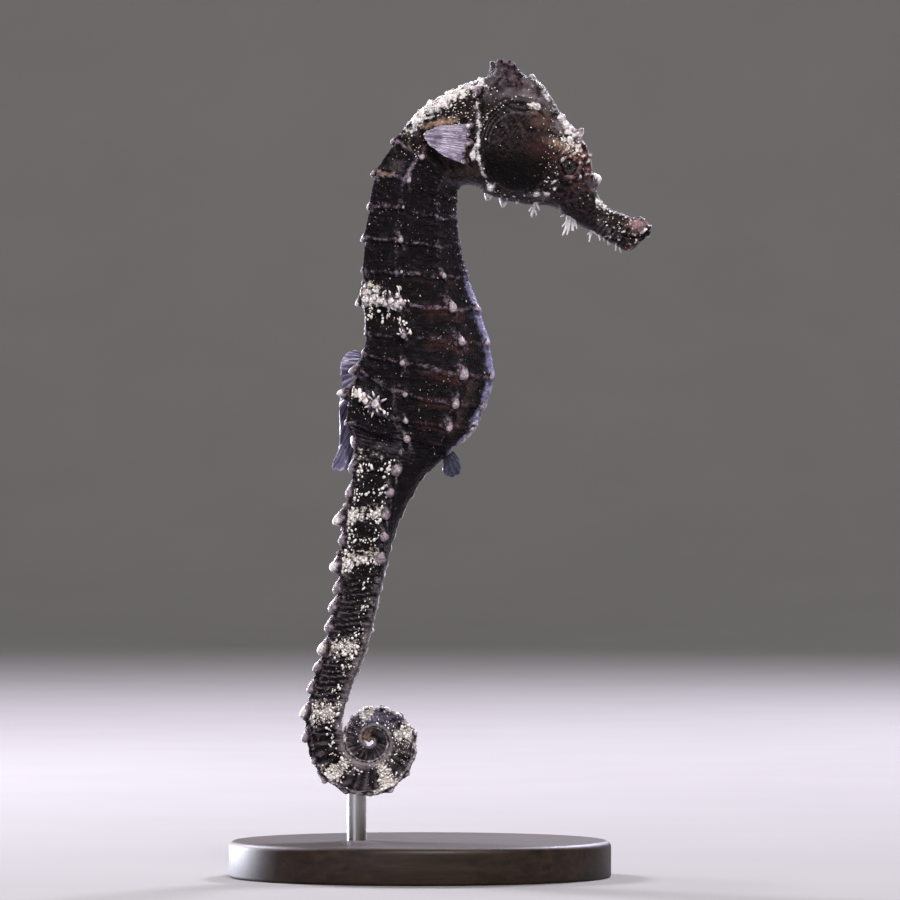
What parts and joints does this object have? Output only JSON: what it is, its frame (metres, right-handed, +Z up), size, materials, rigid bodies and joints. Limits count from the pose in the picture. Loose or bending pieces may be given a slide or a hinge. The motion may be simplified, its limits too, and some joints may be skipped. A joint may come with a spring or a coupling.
{
  "type": "seahorse",
  "caption": "Life-size still model of a seahorse with a bent head, ringed spiny body and coiled tail, held above a plain round display base by a short rod.",
  "frame": {"origin": "centre of the underside of the stand's base, on the surface it stands on", "axes": "+Z up; +X the way the snout points; +Y the animal's left side"},
  "size_m": [0.0572, 0.052, 0.1113],
  "materials": {
    "skin": "satin skin over bony rings",
    "pouch_skin": "smooth satin skin",
    "fin_membrane": "thin translucent membrane",
    "eye": "clear gloss over a mottled iris",
    "stand_wood": "satin black lacquer",
    "stand_steel": "brushed"
  },
  "bodies": {
    "root": {"head": "skin", "snout": "skin", "coronet": "skin", "neck": "skin", "trunk_upper": "skin", "trunk_lower": "skin", "tail_base": "skin", "tail_upper": "skin", "tail_middle": "skin", "tail_coil_1": "skin", "tail_coil_2": "skin", "tail_coil_3": "skin", "tail_coil_4": "skin", "tail_tip": "skin", "brood_pouch": "pouch_skin", "dorsal_fin": "fin_membrane", "anal_fin": "fin_membrane", "pectoral_fin_left": "fin_membrane", "pectoral_fin_right": "fin_membrane", "eye_left": "eye", "eye_right": "eye", "stand_base": "stand_wood", "stand_rod": "stand_steel"}
  },
  "joints": []
}
